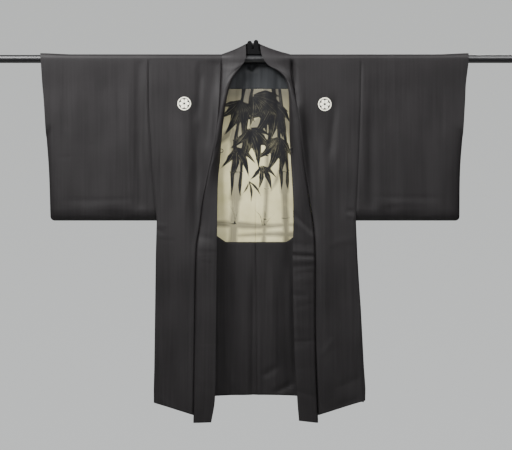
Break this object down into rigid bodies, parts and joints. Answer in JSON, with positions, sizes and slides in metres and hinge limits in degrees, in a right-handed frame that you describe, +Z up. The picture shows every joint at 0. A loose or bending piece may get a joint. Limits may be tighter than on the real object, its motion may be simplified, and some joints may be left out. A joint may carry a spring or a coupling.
{
  "type": "haori on a hanging rod with a neck support",
  "caption": "Men's black silk haori hung open over a round rod, sleeves spread, with a small neck support that props the collar.",
  "frame": {"origin": "on the rod's axis, half way along the rod, below the neck", "axes": "+X along the rod to the viewer's right, +Y from the front of the garment to its back, +Z up"},
  "size_m": [1.6, 0.0593, 1.146],
  "materials": {
    "black_silk_body_left": "matte black silk with a soft sheen",
    "black_silk_body_right": "matte black silk with a soft sheen",
    "black_silk_sleeve_left": "matte black silk with a soft sheen",
    "black_silk_sleeve_right": "matte black silk with a soft sheen",
    "black_silk_gusset_left": "matte black silk with a soft sheen",
    "black_silk_gusset_right": "matte black silk with a soft sheen",
    "black_silk_facing_left": "matte black silk with a soft sheen",
    "black_silk_facing_right": "matte black silk with a soft sheen",
    "black_silk_collar": "doubled matte black silk, pressed",
    "silk_cord_left": "thin black silk cord",
    "silk_cord_right": "thin black silk cord",
    "dark_silk_yoke": "smooth dark blue-grey silk",
    "pale_silk_lining": null,
    "black_support": "matte black",
    "black_rod": "satin black paint"
  },
  "bodies": {
    "root": {"body_left": "black_silk_body_left", "body_right": "black_silk_body_right", "sleeve_left": "black_silk_sleeve_left", "sleeve_right": "black_silk_sleeve_right", "gusset_left": "black_silk_gusset_left", "gusset_right": "black_silk_gusset_right", "facing_left": "black_silk_facing_left", "facing_right": "black_silk_facing_right", "collar": "black_silk_collar", "loop_left": "silk_cord_left", "loop_right": "silk_cord_right", "yoke_lining": "dark_silk_yoke", "lining_back": "pale_silk_lining", "neck_support": "black_support", "rod": "black_rod"}
  },
  "joints": []
}
